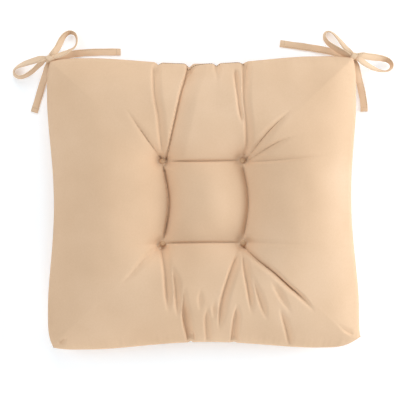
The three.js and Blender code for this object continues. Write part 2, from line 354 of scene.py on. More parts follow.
def floor_material():
    """A white paper sweep, bright enough that only a faint shadow shows."""
    material, nodes, links, shader, position = new_material("white_paper")
    grain = noise(nodes, links, position, 3)
    colour_by(nodes, links, grain, [(0.0, (0.93, 0.93, 0.93)), (1.0, (0.95, 0.95, 0.95))])
    shader["Roughness"].default_value = 0.9
    shader["Specular IOR Level"].default_value = 0.1
    shader["Emission Color"].default_value = (1, 0.97, 0.93, 1)
    shader["Emission Strength"].default_value = FLOOR_GLOW
    return material


# The dark, middle and light of each cloth.
COVER_COLOURS = (0.69, 0.445, 0.272), (0.757, 0.503, 0.318), (0.81, 0.555, 0.366)
# The buttons are the cover's own cotton, coloured darker to paint the shade of the dimple each one sits in.
BUTTON_COLOURS_PAINTED_SHADE = (0.52, 0.31, 0.17), (0.59, 0.365, 0.21), (0.65, 0.42, 0.25)
TAPE_COLOURS = (0.70, 0.48, 0.31), (0.77, 0.54, 0.355), (0.83, 0.59, 0.405)
COVER_CLOTH = cloth_material("cover_cotton", *COVER_COLOURS)
SHADE_DARKENED_BUTTON_CLOTH = cloth_material("button_cotton_painted_shade", *BUTTON_COLOURS_PAINTED_SHADE)
TAPE_CLOTH = cloth_material("tape_cotton", *TAPE_COLOURS, pitch=0.45 * MM)
FIBRE = fibre_material()
THREAD = thread_material("sewing_thread", (0.36, 0.24, 0.14), (0.52, 0.37, 0.24))
# Near-black thread for the stitches that paint the shadow along the rear seam.
SEAM_SHADOW_THREAD = thread_material("seam_shadow_thread", (0.16, 0.09, 0.05), (0.28, 0.17, 0.10))
TUFTING_CORD = thread_material("tufting_cord", (0.55, 0.43, 0.30), (0.72, 0.60, 0.46))


# ---- tapes

# The middle line of each stretch of tape, from its knot outward, in millimetres.
ROUTES = {
    "left_tie_upper_loop": (
        (-210, 207.5, 33), (-205.5, 212, 31.5), (-202, 218, 26.5), (-199.3, 225.5, 20.5),
        (-196.5, 233, 14.5), (-192.5, 239.7, 9.5), (-186.3, 243.5, 6.8), (-180, 241.7, 6),
        (-177, 236.1, 6.5), (-176.7, 227.9, 10), (-179.5, 221, 15.5), (-184.8, 215.8, 21.5),
        (-191, 211.3, 27), (-198.5, 207.3, 31), (-207.2, 203.8, 33),
    ),
    "left_tie_side_loop": (
        (-218.9, 203.8, 33), (-226, 202.6, 31.5), (-233.5, 201, 26.5), (-242, 199.6, 20.5),
        (-251.5, 197.8, 14.5), (-260.2, 195, 9.5), (-265.6, 190.2, 6.8), (-265, 184, 6),
        (-259, 180.5, 6.5), (-251.2, 181.2, 10), (-242.6, 184.5, 15.5), (-235, 189, 21.5),
        (-228.8, 193.3, 27), (-223.3, 197, 31), (-218.7, 199.9, 33),
    ),
    "left_tie_long_tail": (
        (-207, 201.6, 28), (-202.8, 203.4, 25), (-198, 205.8, 20), (-193.5, 208.4, 14), (-189, 210.8, 8.5),
        (-184, 212.7, 4.6), (-178.5, 214.1, 2.2), (-172, 215, 1.2), (-165, 215.6, 0.9), (-157, 216, 0.9),
        (-149, 216.2, 0.9), (-140.5, 216.3, 0.9), (-132, 216.2, 0.9), (-123.3, 216.2, 0.9),
        (-114.7, 216.1, 0.9),
    ),
    "left_tie_short_tail": (
        (-214.4, 196, 28), (-215.8, 191.5, 25), (-217.5, 187.3, 20.5), (-219.5, 183.4, 15.5),
        (-221.6, 179.6, 10.5), (-223.7, 175.4, 6.5), (-225.8, 170.8, 3.6), (-227.6, 165.9, 1.9),
        (-229.2, 160.8, 1.1), (-230.7, 155.6, 0.9), (-232.3, 150.4, 0.9), (-233.8, 145.2, 0.9),
        (-235.3, 140.4, 0.9), (-236.7, 135.7, 0.9), (-238.2, 130.9, 0.9),
    ),
    "right_tie_upper_loop": (
        (209.8, 207.3, 33), (205.5, 211, 31.5), (202, 216, 26.5), (198.8, 222.3, 20.5), (195.2, 229, 14.5),
        (191, 235.3, 9.5), (185.6, 240.5, 6.8), (180.1, 242, 6), (176.1, 238.9, 6.8), (175.2, 232.3, 10.5),
        (178.1, 225.3, 15.5), (183, 219.3, 21.5), (189.3, 213.8, 27), (198, 208, 31), (207.2, 203.7, 33),
    ),
    "right_tie_side_loop": (
        (218.9, 203.4, 33), (225.5, 203.3, 31.5), (232.5, 203, 26.5), (240.5, 202.9, 20.5),
        (248.5, 202.8, 14.5), (256.5, 202.3, 9.5), (264.4, 200.3, 6.8), (269.8, 195.3, 6),
        (269.5, 189.2, 6.5), (262.9, 184.7, 9), (253.5, 184.6, 13), (244.5, 186.6, 18.5),
        (235.7, 189.6, 24.5), (226.8, 194, 30), (218.7, 199.5, 33),
    ),
    "right_tie_long_tail": (
        (207, 201.4, 28), (202.8, 203.2, 25), (198, 205.9, 20), (193, 209, 14), (187.5, 212, 8.5),
        (180.5, 214.5, 4.6), (173, 216.5, 2.2), (165.5, 218.1, 1.2), (158, 219.4, 0.9), (150.5, 220.6, 0.9),
        (143, 221.8, 0.9), (135.5, 222.9, 0.9), (128, 224, 0.9), (120.3, 225.2, 0.9), (112.4, 226.4, 0.9),
    ),
    "right_tie_short_tail": (
        (214.8, 196, 28), (216.5, 191, 25), (218.6, 185.5, 20.5), (220.3, 181, 15.5), (222, 176.5, 10.5),
        (223.7, 171.8, 6.5), (225.3, 167, 3.6), (226.7, 162, 1.9), (227.8, 157.3, 1.1),
        (228.7, 152.6, 0.9), (229.5, 147.8, 0.9), (230.2, 143, 0.9), (230.7, 138.2, 0.9),
        (230.9, 133.4, 0.9), (230.9, 128.2, 0.9),
    ),
}
# How far each stretch is tipped from lying flat, in degrees, at even steps along it.
LEANS = {
    "left_tie_upper_loop": (30, 38, 45, 66, 74, 60, 38, 28),
    "left_tie_side_loop": (30, 22, 28, 62, 70, 66, 62, 55),
    "left_tie_long_tail": (20, 12, 0, 0, 0, 0),
    "left_tie_short_tail": (-15, -8, 0, 0, 0, 0),
    "right_tie_upper_loop": (30, 36, 50, 70, 74, 62, 50, 38),
    "right_tie_side_loop": (25, 28, 32, 60, 74, 50, 30, 22),
    "right_tie_long_tail": (15, 8, 0, 0, 0, 0),
    "right_tie_short_tail": (15, 8, 0, 0, 0, 0),
}
TAPE_WIDTH = 10 * MM
TAPE_THICKNESS = 1.3 * MM
# Half of a tape's upper outline, from its edge to its middle: how far out and how high, as shares of half
# its width and half its thickness. It dips under each row of stitches.
TAPE_PROFILE = (
    (1, 0.0), (0.985, 0.55), (0.93, 0.95), (0.82, 1.0), (0.72, 0.72),
    (0.62, 1.0), (0.4, 1.03), (0.2, 1.04), (0, 1.04),
)
TAPE_GATHERED = 0.5  # share of its width that a tape keeps inside a knot
TAPE_GATHER_LENGTH = 15 * MM
TAPE_STEP = 1.0 * MM
STITCH_LENGTH = 1.6 * MM
STITCH_PITCH = 2.4 * MM
STITCH_RADIUS = 0.22 * MM
STITCH_RISE = 0.45 * TAPE_THICKNESS
STITCH_SIDES = 6
# A stitch from end to end: share of the way, and thickness as a share of the thread's.
STITCH_PROFILE = ((0, 0.35), (0.18, 0.9), (0.5, 1.1), (0.82, 0.9), (1, 0.35))
EDGE_ROW = 0.72  # share of half the width, from the middle line
HEM = 7 * MM
HEM_ROW = 0.85 * HEM  # from the end
HEM_STITCHES = (-0.75, -0.33, 0.09, 0.51)  # where each starts, as shares of half the width
HEM_STITCH_LENGTH = 0.3
ROOT_WIDTH = 8 * MM
ROOT_INSIDE = 9 * MM  # how far a sewn root reaches into the corner
ROOT_SPREAD = 0.9 * MM
ROOT_STEPS = 14
KNOT_RADIUS = size_of("left_tie_knot")[0] / 2
KNOT_BAND_HALF = 3.6 * MM
KNOT_BAND_RISE = 0.8 * MM
# The turn of tape round a knot: how far across and how far out, as shares of those two.
KNOT_BAND_PROFILE = (
    (-1, 0), (-0.96, 0.7), (-0.7, 1.0), (-0.35, 0.75), (0, 1.05), (0.4, 0.8),
    (0.7, 1.0), (0.96, 0.7), (1, 0), (0.6, -0.6), (0, -0.6), (-0.6, -0.6),
)
# How much each knot slants away from left-to-right, its half-length in radii, and its shift in mm.
KNOTS = {"left": (0.62, 1.5, (1.4, 0.6, 0.4)), "right": (-0.28, 1.15, (0, 0, 0))}
HIDDEN_IN_KNOT = 0.75  # share of the way to the middle of the knot


class Tape:
    """A flat tape swept along a route: where any point of it is."""

    def __init__(self, route, leans, width=TAPE_WIDTH, seed=0):
        self.dense = smooth_line(np.array(route) * MM, 40 * len(route))
        self.at = distances_along(self.dense)
        self.length = self.at[-1]
        self.leans = smooth_line([[lean] for lean in leans], 60)[:, 0]
        self.width = width
        self.waves = np.random.default_rng(seed).uniform(0, 2 * math.pi, 3)

    def place(self, s):
        return np.array([np.interp(s, self.at, self.dense[:, axis]) for axis in range(3)])

    def frame(self, s):
        """Middle, across and out at a distance along the tape."""
        reach = 1.5 * MM
        ahead = self.place(min(s + reach, self.length))
        behind = self.place(max(s - reach, 0))
        forward = Vector(ahead - behind).normalized()
        level = Vector((-forward.y, forward.x, 0)).normalized()
        share = s / self.length
        lean = np.interp(share, np.linspace(0, 1, len(self.leans)), self.leans)
        across = Matrix.Rotation(math.radians(lean), 3, forward) @ level
        return Vector(self.place(s)), across, forward.cross(across)

    def gather(self, s, ends):
        """Share of its width that the tape keeps here, drawn in at each gathered end."""
        near = [distance for distance, drawn in zip((s, self.length - s), ends) if drawn]
        if not near:
            return 1.0
        t = float(smooth_step(min(near), 0, TAPE_GATHER_LENGTH))
        return TAPE_GATHERED + (1 - TAPE_GATHERED) * t

    def point(self, s, side, rise, ends):
        """side runs from -1 to 1 across the tape and rise lifts off its middle surface, in metres."""
        middle, across, out = self.frame(s)
        gather = self.gather(s, ends)
        half = self.width / 2 * gather * (1 + 0.02 * math.sin(260 * s + self.waves[0]))
        cup = 0.35 * MM * (side**2 - 0.4) * math.sin(90 * s + self.waves[1])
        pleats = (1 - gather) * 2.2 * MM * math.cos(3 * math.pi * side)
        return middle + across * (side * half) + out * (rise + cup + pleats)


def tape_section():
    """Points (side, rise) once round a folded tape."""
    right = [(side, rise * TAPE_THICKNESS / 2) for side, rise in TAPE_PROFILE]
    left = [(-side, rise) for side, rise in reversed(right[:-1])]
    upper = right + left
    lower = [(side, -rise) for side, rise in reversed(upper[1:-1])]
    return upper + lower


def stitch(points, faces, marks, a, b, out, thread_radius=STITCH_RADIUS):
    """A short raised thread from a to b, as a bead."""
    forward = (b - a).normalized()
    side = forward.cross(out).normalized()
    first = len(points)
    for share, thickness in STITCH_PROFILE:
        middle = a.lerp(b, share) + out * (thread_radius * (1.2 * math.sin(math.pi * share) - 0.4))
        radius = thread_radius * thickness
        for corner in range(STITCH_SIDES):
            angle = 2 * math.pi * corner / STITCH_SIDES
            points.append(middle + (side * math.cos(angle) + out * math.sin(angle)) * radius)
    bead = tube_faces(len(STITCH_PROFILE), STITCH_SIDES, first, turned=True)
    faces.extend(bead)
    marks.extend([1] * len(bead))


def hem_thickness(to_end):
    """Thickness near a hemmed end as a share of the tape's: folded over, with a stitched groove."""
    fold = 1 + 0.55 * float(smooth_step(HEM - to_end, 0, 0.8 * MM))
    groove = 0.35 * math.exp(-((to_end - HEM_ROW) / (0.5 * MM)) ** 2)
    return fold - groove


def add_tape_stitches(tape, ends, hemmed, points, faces, marks):
    """A row of stitches along one edge and, if hemmed, one across the end, on both faces of the tape."""
    for face_up in (1, -1):
        rise = face_up * STITCH_RISE
        for number in range(1, int((tape.length - HEM) / STITCH_PITCH)):
            s = number * STITCH_PITCH
            start = tape.point(s, EDGE_ROW, rise, ends)
            end = tape.point(s + STITCH_LENGTH, EDGE_ROW, rise, ends)
            stitch(points, faces, marks, start, end, tape.frame(s)[2] * face_up)
        if hemmed:
            s = tape.length - HEM_ROW
            for side in HEM_STITCHES:
                start = tape.point(s, side, 1.25 * rise, ends)
                end = tape.point(s, side + HEM_STITCH_LENGTH, 1.25 * rise, ends)
                stitch(points, faces, marks, start, end, tape.frame(s)[2] * face_up)


def tape_piece(name, tape, ends, hemmed):
    """A tape with its edge stitching; hemmed adds a folded, stitched end."""
    section = tape_section()
    steps = round(tape.length / TAPE_STEP)
    points = []
    for step in range(steps + 1):
        s = tape.length * step / steps
        thickness = hem_thickness(tape.length - s) if hemmed else 1
        for side, rise in section:
            point = tape.point(s, side, rise * thickness, ends)
            point.z = max(point.z, 0.05 * MM)
            points.append(point)
    faces = tube_faces(steps + 1, len(section))
    marks = [0] * len(faces)
    add_tape_stitches(tape, ends, hemmed, points, faces, marks)
    return add_mesh(name, points, faces, [TAPE_CLOTH, THREAD], marks)


def knot_piece(name, hand, side):
    """The tied knot: a pleated core with a turn of tape drawn tight round it."""
    slant, stretch, shift = KNOTS[hand]
    centre = centre_of(hand + "_tie_knot") + Vector(shift) * MM
    axis = Vector((1, slant, 0)).normalized()
    up = Vector((0, 0, 1))
    beside = up.cross(axis)
    points = []
    around, along = 40, 22
    for ring in range(along + 1):
        t = math.pi * ring / along
        for corner in range(around):
            angle = 2 * math.pi * corner / around
            pleats = 0.86 + 0.09 * math.cos(5 * angle + 0.6 * side) + 0.04 * math.cos(11 * angle)
            radius = KNOT_RADIUS * math.sin(t) ** 0.8 * pleats
            points.append(
                centre + axis * (-KNOT_RADIUS * stretch * math.cos(t))
                + beside * (radius * math.cos(angle)) + up * (radius * 0.85 * math.sin(angle))
            )
    faces = ring_faces(along + 1, around)
    band_points, band_faces = knot_band(centre, axis, beside, up, side)
    faces += [tuple(index + len(points) for index in face) for face in band_faces]
    return add_mesh(name, points + band_points, faces, [TAPE_CLOTH])


def knot_band(centre, axis, beside, up, side):
    """One turn of folded tape round the knot, wider on top than underneath."""
    around = 48
    points = []
    for corner in range(around):
        angle = 2 * math.pi * corner / around
        half = KNOT_BAND_HALF * (0.85 + 0.2 * math.sin(angle))
        skew = KNOT_BAND_HALF / 2 * math.cos(angle) * side
        radius = KNOT_RADIUS * (0.98 + 0.03 * math.cos(3 * angle))
        direction = beside * math.cos(angle) + up * (0.85 * math.sin(angle))
        for across, rise in KNOT_BAND_PROFILE:
            out = radius + rise * KNOT_BAND_RISE
            points.append(centre + axis * (across * half + skew) + direction * out)
    faces = ring_faces(around + 1, len(KNOT_BAND_PROFILE))
    return points, [tuple(index % len(points) for index in face) for face in faces]


def root_piece(name, node, hand, level):
    """The short sewn end of a tape, from inside the corner seam into the knot."""
    start = centre_of(node)
    knot = centre_of(hand + "_tie_knot")
    out = Vector((knot.x - start.x, knot.y - start.y, 0)).normalized()
    inside = start - out * ROOT_INSIDE
    shift = Vector((0, 0, level * ROOT_SPREAD))
    route = [inside.lerp(knot, share / 6) + shift for share in range(6)]
    tape = Tape([tuple(point / MM) for point in route], (0, 0), width=ROOT_WIDTH, seed=5)
    section = tape_section()
    points = []
    for step in range(ROOT_STEPS + 1):
        s = tape.length * step / ROOT_STEPS
        points += [tape.point(s, side, rise, (False, True)) for side, rise in section]
    return add_mesh(name, points, tube_faces(ROOT_STEPS + 1, len(section)), [TAPE_CLOTH])


def add_ties():
    for hand, side in (("left", -1), ("right", 1)):
        knot = knot_piece(hand + "_knot", hand, side)
        enter(knot, hand + "_tie_knot")
        for level_name, level in (("lower", -1), ("upper", 1)):
            node = f"{hand}_tie_root_{level_name}"
            root = root_piece(f"{hand}_root_{level_name}", node, hand, level)
            enter(root, node)
        for strand in ("long_tail", "short_tail", "upper_loop", "side_loop"):
            add_strand(hand, strand)


def into_knot(point, knot):
    """Where a stretch of tape that meets the knot at this point ends inside it, in millimetres."""
    return tuple(Vector(point).lerp(knot / MM, HIDDEN_IN_KNOT))


def add_strand(hand, strand):
    """One loop or tail, swept along its route with its stitching and put on the body it rides on."""
    node = f"{hand}_tie_{strand}"
    loop = strand.endswith("loop")
    knot = centre_of(hand + "_tie_knot")
    route = (into_knot(ROUTES[node][0], knot), *ROUTES[node])
    if loop:
        route = (*route, into_knot(ROUTES[node][-1], knot))
    tape = Tape(route, LEANS[node], seed=len(strand) + (3 if hand == "left" else 0))
    piece = tape_piece(f"{hand}_{strand}", tape, (True, loop), not loop)
    enter(piece, node, body="cushion" if strand == "long_tail" else f"{hand}_{strand}")


# ---- outline and folds of the cushion

def near_corner(t):
    """0 up to BULGE_AT and 1 at the corner."""
    return (np.clip(np.abs(t) - BULGE_AT, 0, None) / (1 - BULGE_AT)) ** CORNER_TUCK_POWER


def half_breadth(full, t):
    """Half the breadth at t along the other way, drawn in at mid-side and at the corner."""
    along = np.abs(t) / BULGE_AT
    drawn_in = np.where(along < 1, SIDE_PULL * (1 - along**2) ** 2, 0)
    return full / 2 - drawn_in - CORNER_TUCK * near_corner(t)


def notches(x, spots):
    depth = np.zeros_like(x)
    for at, deep, half_width in spots:
        depth += deep * MM * np.clip(1 - np.abs(x / MM - at) / half_width, 0, None) ** 1.5
    return depth


def plan(u, v):
    """Where the fractions u and v of the pad lie on the floor plan."""
    x = u * half_breadth(WIDTH, v)
    y = v * half_breadth(DEPTH, u)
    for (corner_u, corner_v), (shift_x, shift_y) in CORNER_SHIFTS.items():
        near = near_corner(u) * near_corner(v) * (u * corner_u > 0) * (v * corner_v > 0)
        x = x + shift_x * MM * near
        y = y + shift_y * MM * near
    y = y - notches(x, REAR_NOTCHES) * np.clip(v, 0, 1) ** NOTCH_POWER
    y = y + notches(x, FRONT_NOTCHES) * np.clip(-v, 0, 1) ** NOTCH_POWER
    return x, y


# Folds that run out from the tufts and in from the edges. Each has its points, its depth (below 0 for a
# ridge), its half-width on the left and on the right of the way it runs, the depth of the thin cut along
# its bottom, all in mm, and the shares of its length over which it fades in and out.
FOLDS = (
    # rear left tuft
    (((-56, 60), (-71, 80), (-89, 106), (-106, 130)), 1.6, (8, 8), 2.6, 0.0, 0.6),
    (
        ((-50, 60), (-44, 84), (-38, 109), (-32, 135), (-28, 153), (-23, 170), (-18, 185), (-17, 198)),
        6.0, (3, 26), 5.0, 0.0, 0.04,
    ),
    (((-54, 65), (-57, 91), (-59, 118), (-63, 142), (-65, 166), (-65, 196)), 4.0, (5, 11), 0.6, 0.1, 0.1),
    (((-53, 68), (-56, 95), (-60, 123), (-69, 144)), 1.6, (4, 5), 0.2, 0.2, 0.5),
    # rear right tuft
    (((58, 64), (62, 76), (61, 106), (58, 143), (60, 187), (60, 196)), 5.0, (5, 11), 0.6, 0.05, 0.1),
    (((56, 104), (52, 122), (50, 140), (47, 177), (47, 186)), 4.4, (4, 7), 0.1, 0.2, 0.3),
    (((24, 198), (23, 184), (21, 163)), 2.2, (5, 7), 0.4, 0.0, 0.7),
    (((60, 57), (75, 76), (93, 97), (111, 114), (124, 126)), 2.8, (8, 10), 2.6, 0.0, 0.6),
    (((62, 56), (82, 68), (106, 81), (134, 91)), 2.6, (6, 9), 2.0, 0.0, 0.6),
    (((64, 55), (99, 55), (147, 59), (190, 66)), 2.4, (9, 5), 1.0, 0.0, 0.8),
    # front right tuft
    (((57, -63), (75, -81), (95, -97), (118, -118), (135, -133), (152, -153)), 3.4, (8, 8), 5.6, 0.0, 0.4),
    (((102, -103), (118, -118), (135, -133), (152, -153)), 4.4, (7, 6), 0.0, 0.5, 0.4),
    (((95, -88), (115, -104), (133, -120), (150, -138), (166, -159)), -2.4, (7, 8), 0.0, 0.3, 0.5),
    (((62, -57), (105, -58), (173, -62)), 1.6, (8, 8), 0.6, 0.0, 0.9),
    (((51, -65), (39, -91), (28, -124), (23, -148), (21, -180)), 6.0, (12, 4), 0.8, 0.2, 0.25),
    (((54, -69), (57, -97), (62, -128), (66, -157)), 5.0, (10, 4), 0.4, 0.2, 0.35),
    (((64, -94), (73, -124), (80, -145), (87, -164)), 4.2, (9, 4), 0.0, 0.4, 0.4),
    (((91, -108), (105, -131), (121, -157)), 3.2, (9, 5), 0.0, 0.4, 0.5),
    # front left tuft
    (((-63, -58), (-86, -58), (-110, -57)), 1.6, (8, 8), 0.6, 0.0, 0.9),
    (((-61, -62), (-78, -76), (-97, -97), (-118, -117)), 2.6, (10, 7), 1.2, 0.0, 0.7),
    (((-56, -66), (-52, -93), (-50, -120), (-48, -152)), 5.4, (12, 5), 0.8, 0.0, 0.3),
    (((-44, -82), (-38, -107), (-36, -134), (-35, -159)), 5.0, (10, 5), 0.3, 0.4, 0.3),
    # front edge
    (((-18, -203), (-22, -184), (-26, -164), (-27, -142), (-26, -112)), 8.0, (4, 12), 1.2, 0.0, 0.4),
    (((-14, -203), (-15, -188), (-18, -170)), 5.0, (2, 5), 1.4, 0.0, 0.5),
    (((7, -203), (5, -180), (4, -160), (6, -140)), 4.2, (5, 9), 0.2, 0.0, 0.4),
    (((-5, -151), (-5, -134), (-4, -116)), 2.4, (4, 8), 0.0, 0.5, 0.5),
    (((14, -165), (14, -148), (15, -133)), 2.6, (4, 8), 0.0, 0.5, 0.5),
    (((40, -203), (42, -170), (46, -138)), 6.0, (5, 10), 0.6, 0.0, 0.35),
    (((120, -203), (112, -173), (103, -144)), 4.2, (4, 9), 0.2, 0.2, 0.4),
    # corners
    (((-200, -194), (-194, -190), (-187, -185)), 2.4, (3, 6), 0.5, 0.2, 0.6),
    (((208, -186), (194, -178), (180, -166)), 2.2, (4, 8), 0.2, 0.2, 0.7),
)
CUT_WIDTH = 1.9 * MM  # on each side of the cut's line
# Creases between neighbouring tufts: the two tufts, how far the middle bows to the right of the way
# there, how much higher the middle lies than the tufts, the depth of the fold, its half-width on the left
# and on the right of the way there, the depth of the thin cut along its bottom, all in mm, and the share
# of that cut that is left at the far end.
CREASES = (
    ("rear_left", "rear_right", 1, 12, 2.0, (3, 3), 3.6, 0.3),
    ("front_left", "front_right", -1, 12, 2.0, (3, 3), 3.4, 0.2),
    ("rear_left", "front_left", -9, 3, 6.0, (18, 2), 3.0, 1),
    ("rear_right", "front_right", -8, 4, 5.0, (2, 12), 1.2, 1),
)
CREASE_END = 0.14  # share of a crease over which it deepens from each tuft
LINE_POINTS = 24


def from_tuft(x, y):
    """Distance of each point from the nearest tuft."""
    return np.min([np.hypot(x - tuft.x, y - tuft.y) for tuft in TUFTS.values()], axis=0)


def fold_line(points):
    """A smooth line through points in mm, itself in metres."""
    return smooth_line(points, LINE_POINTS) * MM


def crease_line(crease):
    start, end = (np.array(TUFTS[place][:2]) / MM for place in crease[:2])
    way = (end - start) / np.linalg.norm(end - start)
    right = np.array([way[1], -way[0]])
    return fold_line([start, (start + end) / 2 + right * crease[2], end])


def near_line(x, y, line):
    """Distance of each point from a line, how far along the line it is, and on which side."""
    nearest = np.full(x.shape, np.inf)
    share = np.zeros(x.shape)
    side = np.ones(x.shape)
    for index, (start, end) in enumerate(zip(line[:-1], line[1:])):
        way = end - start
        t = np.clip(((x - start[0]) * way[0] + (y - start[1]) * way[1]) / (way @ way), 0, 1)
        off_x = x - start[0] - t * way[0]
        off_y = y - start[1] - t * way[1]
        distance = np.hypot(off_x, off_y)
        closer = distance < nearest
        nearest = np.where(closer, distance, nearest)
        share = np.where(closer, (index + t) / (len(line) - 1), share)
        side = np.where(closer, np.sign(way[1] * off_x - way[0] * off_y), side)
    return nearest, share, side


def valley(distance, width):
    """Two round shoulders that meet in a line: 1 on the line and 0 from width on."""
    return (1 - np.clip(distance / width, 0, 1)) ** 2


def folded_in(x, y):
    """How far the cloth is drawn in by every fold and crease at each point, in metres."""
    deepest = np.zeros(x.shape)
    for points, depth, half_widths, cut, fade_in, fade_out in FOLDS:
        line = fold_line(points)
        reach = 1.1 * max(half_widths) * MM
        box = (x > line[:, 0].min() - reach) & (x < line[:, 0].max() + reach)
        box &= (y > line[:, 1].min() - reach) & (y < line[:, 1].max() + reach)
        distance, share, side = near_line(x[box], y[box], line)
        kept = 1 - smooth_step(share, 1 - fade_out, 1.01)
        if fade_in:
            kept = kept * smooth_step(share, -0.02, fade_in + 0.01)
        width = np.where(side > 0, half_widths[1], half_widths[0]) * MM * (0.4 + 0.6 * kept)
        shape = smooth_step(width - distance, 0, width)
        draw = depth * MM * kept * shape + cut * MM * kept * valley(distance, CUT_WIDTH)
        deepest[box] = np.where(depth > 0, np.maximum(deepest[box], draw), deepest[box] + draw)
    for crease in CREASES:
        depth, half_widths, cut, cut_left = crease[4:]
        distance, share, side = near_line(x, y, crease_line(crease))
        width = np.where(side > 0, half_widths[1], half_widths[0]) * MM
        cut = cut * (1 - (1 - cut_left) * smooth_step(share, 0.3, 1))
        draw = depth * MM * valley(distance, width) + cut * MM * valley(distance, CUT_WIDTH)
        deepest = np.maximum(deepest, draw * smooth_step(0.5 - np.abs(share - 0.5), 0.01, CREASE_END))
    return deepest


# ---- cloth simulation

SIM_CELL = 4 * MM
SIM_FRAMES = 24
SIM_SETTINGS = {
    "quality": 6, "mass": 0.3, "air_damping": 4,
    "tension_stiffness": 25, "compression_stiffness": 25, "shear_stiffness": 12, "bending_stiffness": 3,
    "tension_damping": 8, "compression_damping": 8, "shear_damping": 8,
    "use_pressure": True, "uniform_pressure_force": 90, "vertex_group_mass": "held",
}
SIM_CAP = 7 * MM  # how far the simulation may move a point
SIM_EASING = 6  # rounds of smoothing of that movement
PINNED_RADIUS = 4.2 * MM


def inflate(upper, lower):
    """How the panels swell as cloth, held at the seam, the tufts and the creases between them."""
    pad, upper_ids, lower_ids = closed_pad("inflated_pad", upper, lower, [])
    held = pad.vertex_groups.new(name="held")
    held.add(upper_ids[rim_mask(upper_ids.shape)].tolist(), 1, "REPLACE")
    for ids, grid in ((upper_ids, upper), (lower_ids, lower)):
        under = from_tuft(grid[..., 0], grid[..., 1]) < PINNED_RADIUS
        held.add(ids[under].tolist(), 1, "REPLACE")
    for crease in CREASES:
        distance, _, _ = near_line(upper[..., 0], upper[..., 1], crease_line(crease))
        held.add(upper_ids[distance < 0.6 * SIM_CELL].tolist(), 1, "REPLACE")
    cloth = pad.modifiers.new("cloth", "CLOTH")
    for setting, value in SIM_SETTINGS.items():
        setattr(cloth.settings, setting, value)
    cloth.settings.effector_weights.gravity = 0
    cloth.collision_settings.use_collision = False
    scene = bpy.context.scene
    scene.frame_start = cloth.point_cache.frame_start = 1
    scene.frame_end = cloth.point_cache.frame_end = SIM_FRAMES
    for number in range(1, SIM_FRAMES + 1):
        scene.frame_set(number)
    result = pad.evaluated_get(bpy.context.evaluated_depsgraph_get()).to_mesh()
    moved = np.zeros(3 * len(result.vertices))
    result.vertices.foreach_get("co", moved)
    moved = moved.reshape(-1, 3)
    scene.frame_set(1)
    bpy.data.objects.remove(pad)
    return tuple(eased(moved[ids] - grid) for ids, grid in ((upper_ids, upper), (lower_ids, lower)))


def eased(swell):
    """The swelling without the kinks that are finer than the simulated mesh can show."""
    length = np.linalg.norm(swell, axis=-1, keepdims=True)
    swell = swell * np.minimum(1, SIM_CAP / np.maximum(length, 1e-9))
    for _ in range(SIM_EASING):
        for axis in (0, 1):
            before = np.roll(swell, 1, axis)
            after = np.roll(swell, -1, axis)
            swell = (before + 2 * swell + after) / 4
        swell[rim_mask(swell.shape[:2])] = 0
    return swell


# ---- cushion pieces

FINE_CELL = 1.5 * MM
INNER_SKIP = 3  # fine cells to each cell of a cover's inner skin
COVER_TOP_LIMIT = LOFT + 6 * MM
LOBE_CURVE = 10.0  # how sharply the cloth rises again from what holds it down, per metre
CENTRE_CURVE = 17.0
SETTLE_ROUNDS = 260
SETTLE_PACE = 1.93  # over-relaxation
SNAP_CELLS = 4  # on each side of a fold's line
WELL_RADIUS = 9 * MM  # the steep hollow round each tuft
WELL_SLOPE = 0.45
LOWER_DIMPLE = 14 * MM
SEAT_DEPTH = 0.2 * MM
SEAT_RADIUS = 1.15 * BUTTON_RADIUS
SEAT_WIDTH = 1.8 * MM
FILL_INSET = 7 * MM
# The row of dark stitches that paints the shadow along the rear seam:
SEAM_SHADOW_ROW = -2  # of the fine grid, counted from the rear seam
SEAM_SHADOW_PITCH = 3.2 * MM
SEAM_SHADOW_LENGTH = 2.7 * MM
SEAM_SHADOW_RADIUS = 0.42 * MM


def normals_of(grid):
    across = np.gradient(grid, axis=1)
    along = np.gradient(grid, axis=0)
    normal = np.cross(across, along)
    return normal / np.maximum(np.linalg.norm(normal, axis=-1, keepdims=True), 1e-12)


def button_seats(grid):
    """A tight ring round each button, where the cloth is drawn under it."""
    distance = from_tuft(grid[..., 0], grid[..., 1])
    return SEAT_DEPTH * np.exp(-(((distance - SEAT_RADIUS) / SEAT_WIDTH) ** 2))


def seam_puckers(u, v, rng):
    """Small uneven gathers beside the seam."""
    around = np.where(np.abs(u) > np.abs(v), v * DEPTH, u * WIDTH) / 2
    edge = np.maximum(np.abs(u), np.abs(v))
    wave = np.zeros(u.shape)
    for pitch in (17 * MM, 11 * MM, 7.3 * MM):
        turn = rng.uniform(0, 2 * math.pi)
        wave += np.sin(2 * math.pi * around / pitch + turn + 2 * np.sin(around / (40 * MM) + turn))
    return 0.07 * MM * wave * smooth_step(edge, 0.9, 0.985) * (1 - smooth_step(edge, 0.992, 1))


def slow_swells(x, y, rng):
    """Gentle unevenness of the fill."""
    height = np.zeros(x.shape)
    for _ in range(9):
        angle = rng.uniform(0, 2 * math.pi)
        pitch = rng.uniform(38, 95) * MM
        turn = rng.uniform(0, 2 * math.pi)
        height += np.sin(2 * math.pi * (x * math.cos(angle) + y * math.sin(angle)) / pitch + turn)
    return 0.12 * MM * height


def seam_shadow_stitches(outer, points, faces, marks):
    """A row of very dark stitches beside the rear seam, between the outer pleats, that paints the seam's
    shadow as a thin dark line.
    """
    line = outer[SEAM_SHADOW_ROW]
    facing_out = normals_of(outer)[SEAM_SHADOW_ROW]
    at = distances_along(line)
    first, last = np.interp((REAR_NOTCHES[0][0] * MM, REAR_NOTCHES[-1][0] * MM), line[:, 0], at)

    def found(values, spot):
        return Vector([np.interp(spot, at, values[:, axis]) for axis in range(3)])

    for spot in np.arange(first, last, SEAM_SHADOW_PITCH):
        start = found(line, spot)
        end = found(line, spot + SEAM_SHADOW_LENGTH)
        stitch(points, faces, marks, start, end, found(facing_out, spot), SEAM_SHADOW_RADIUS)


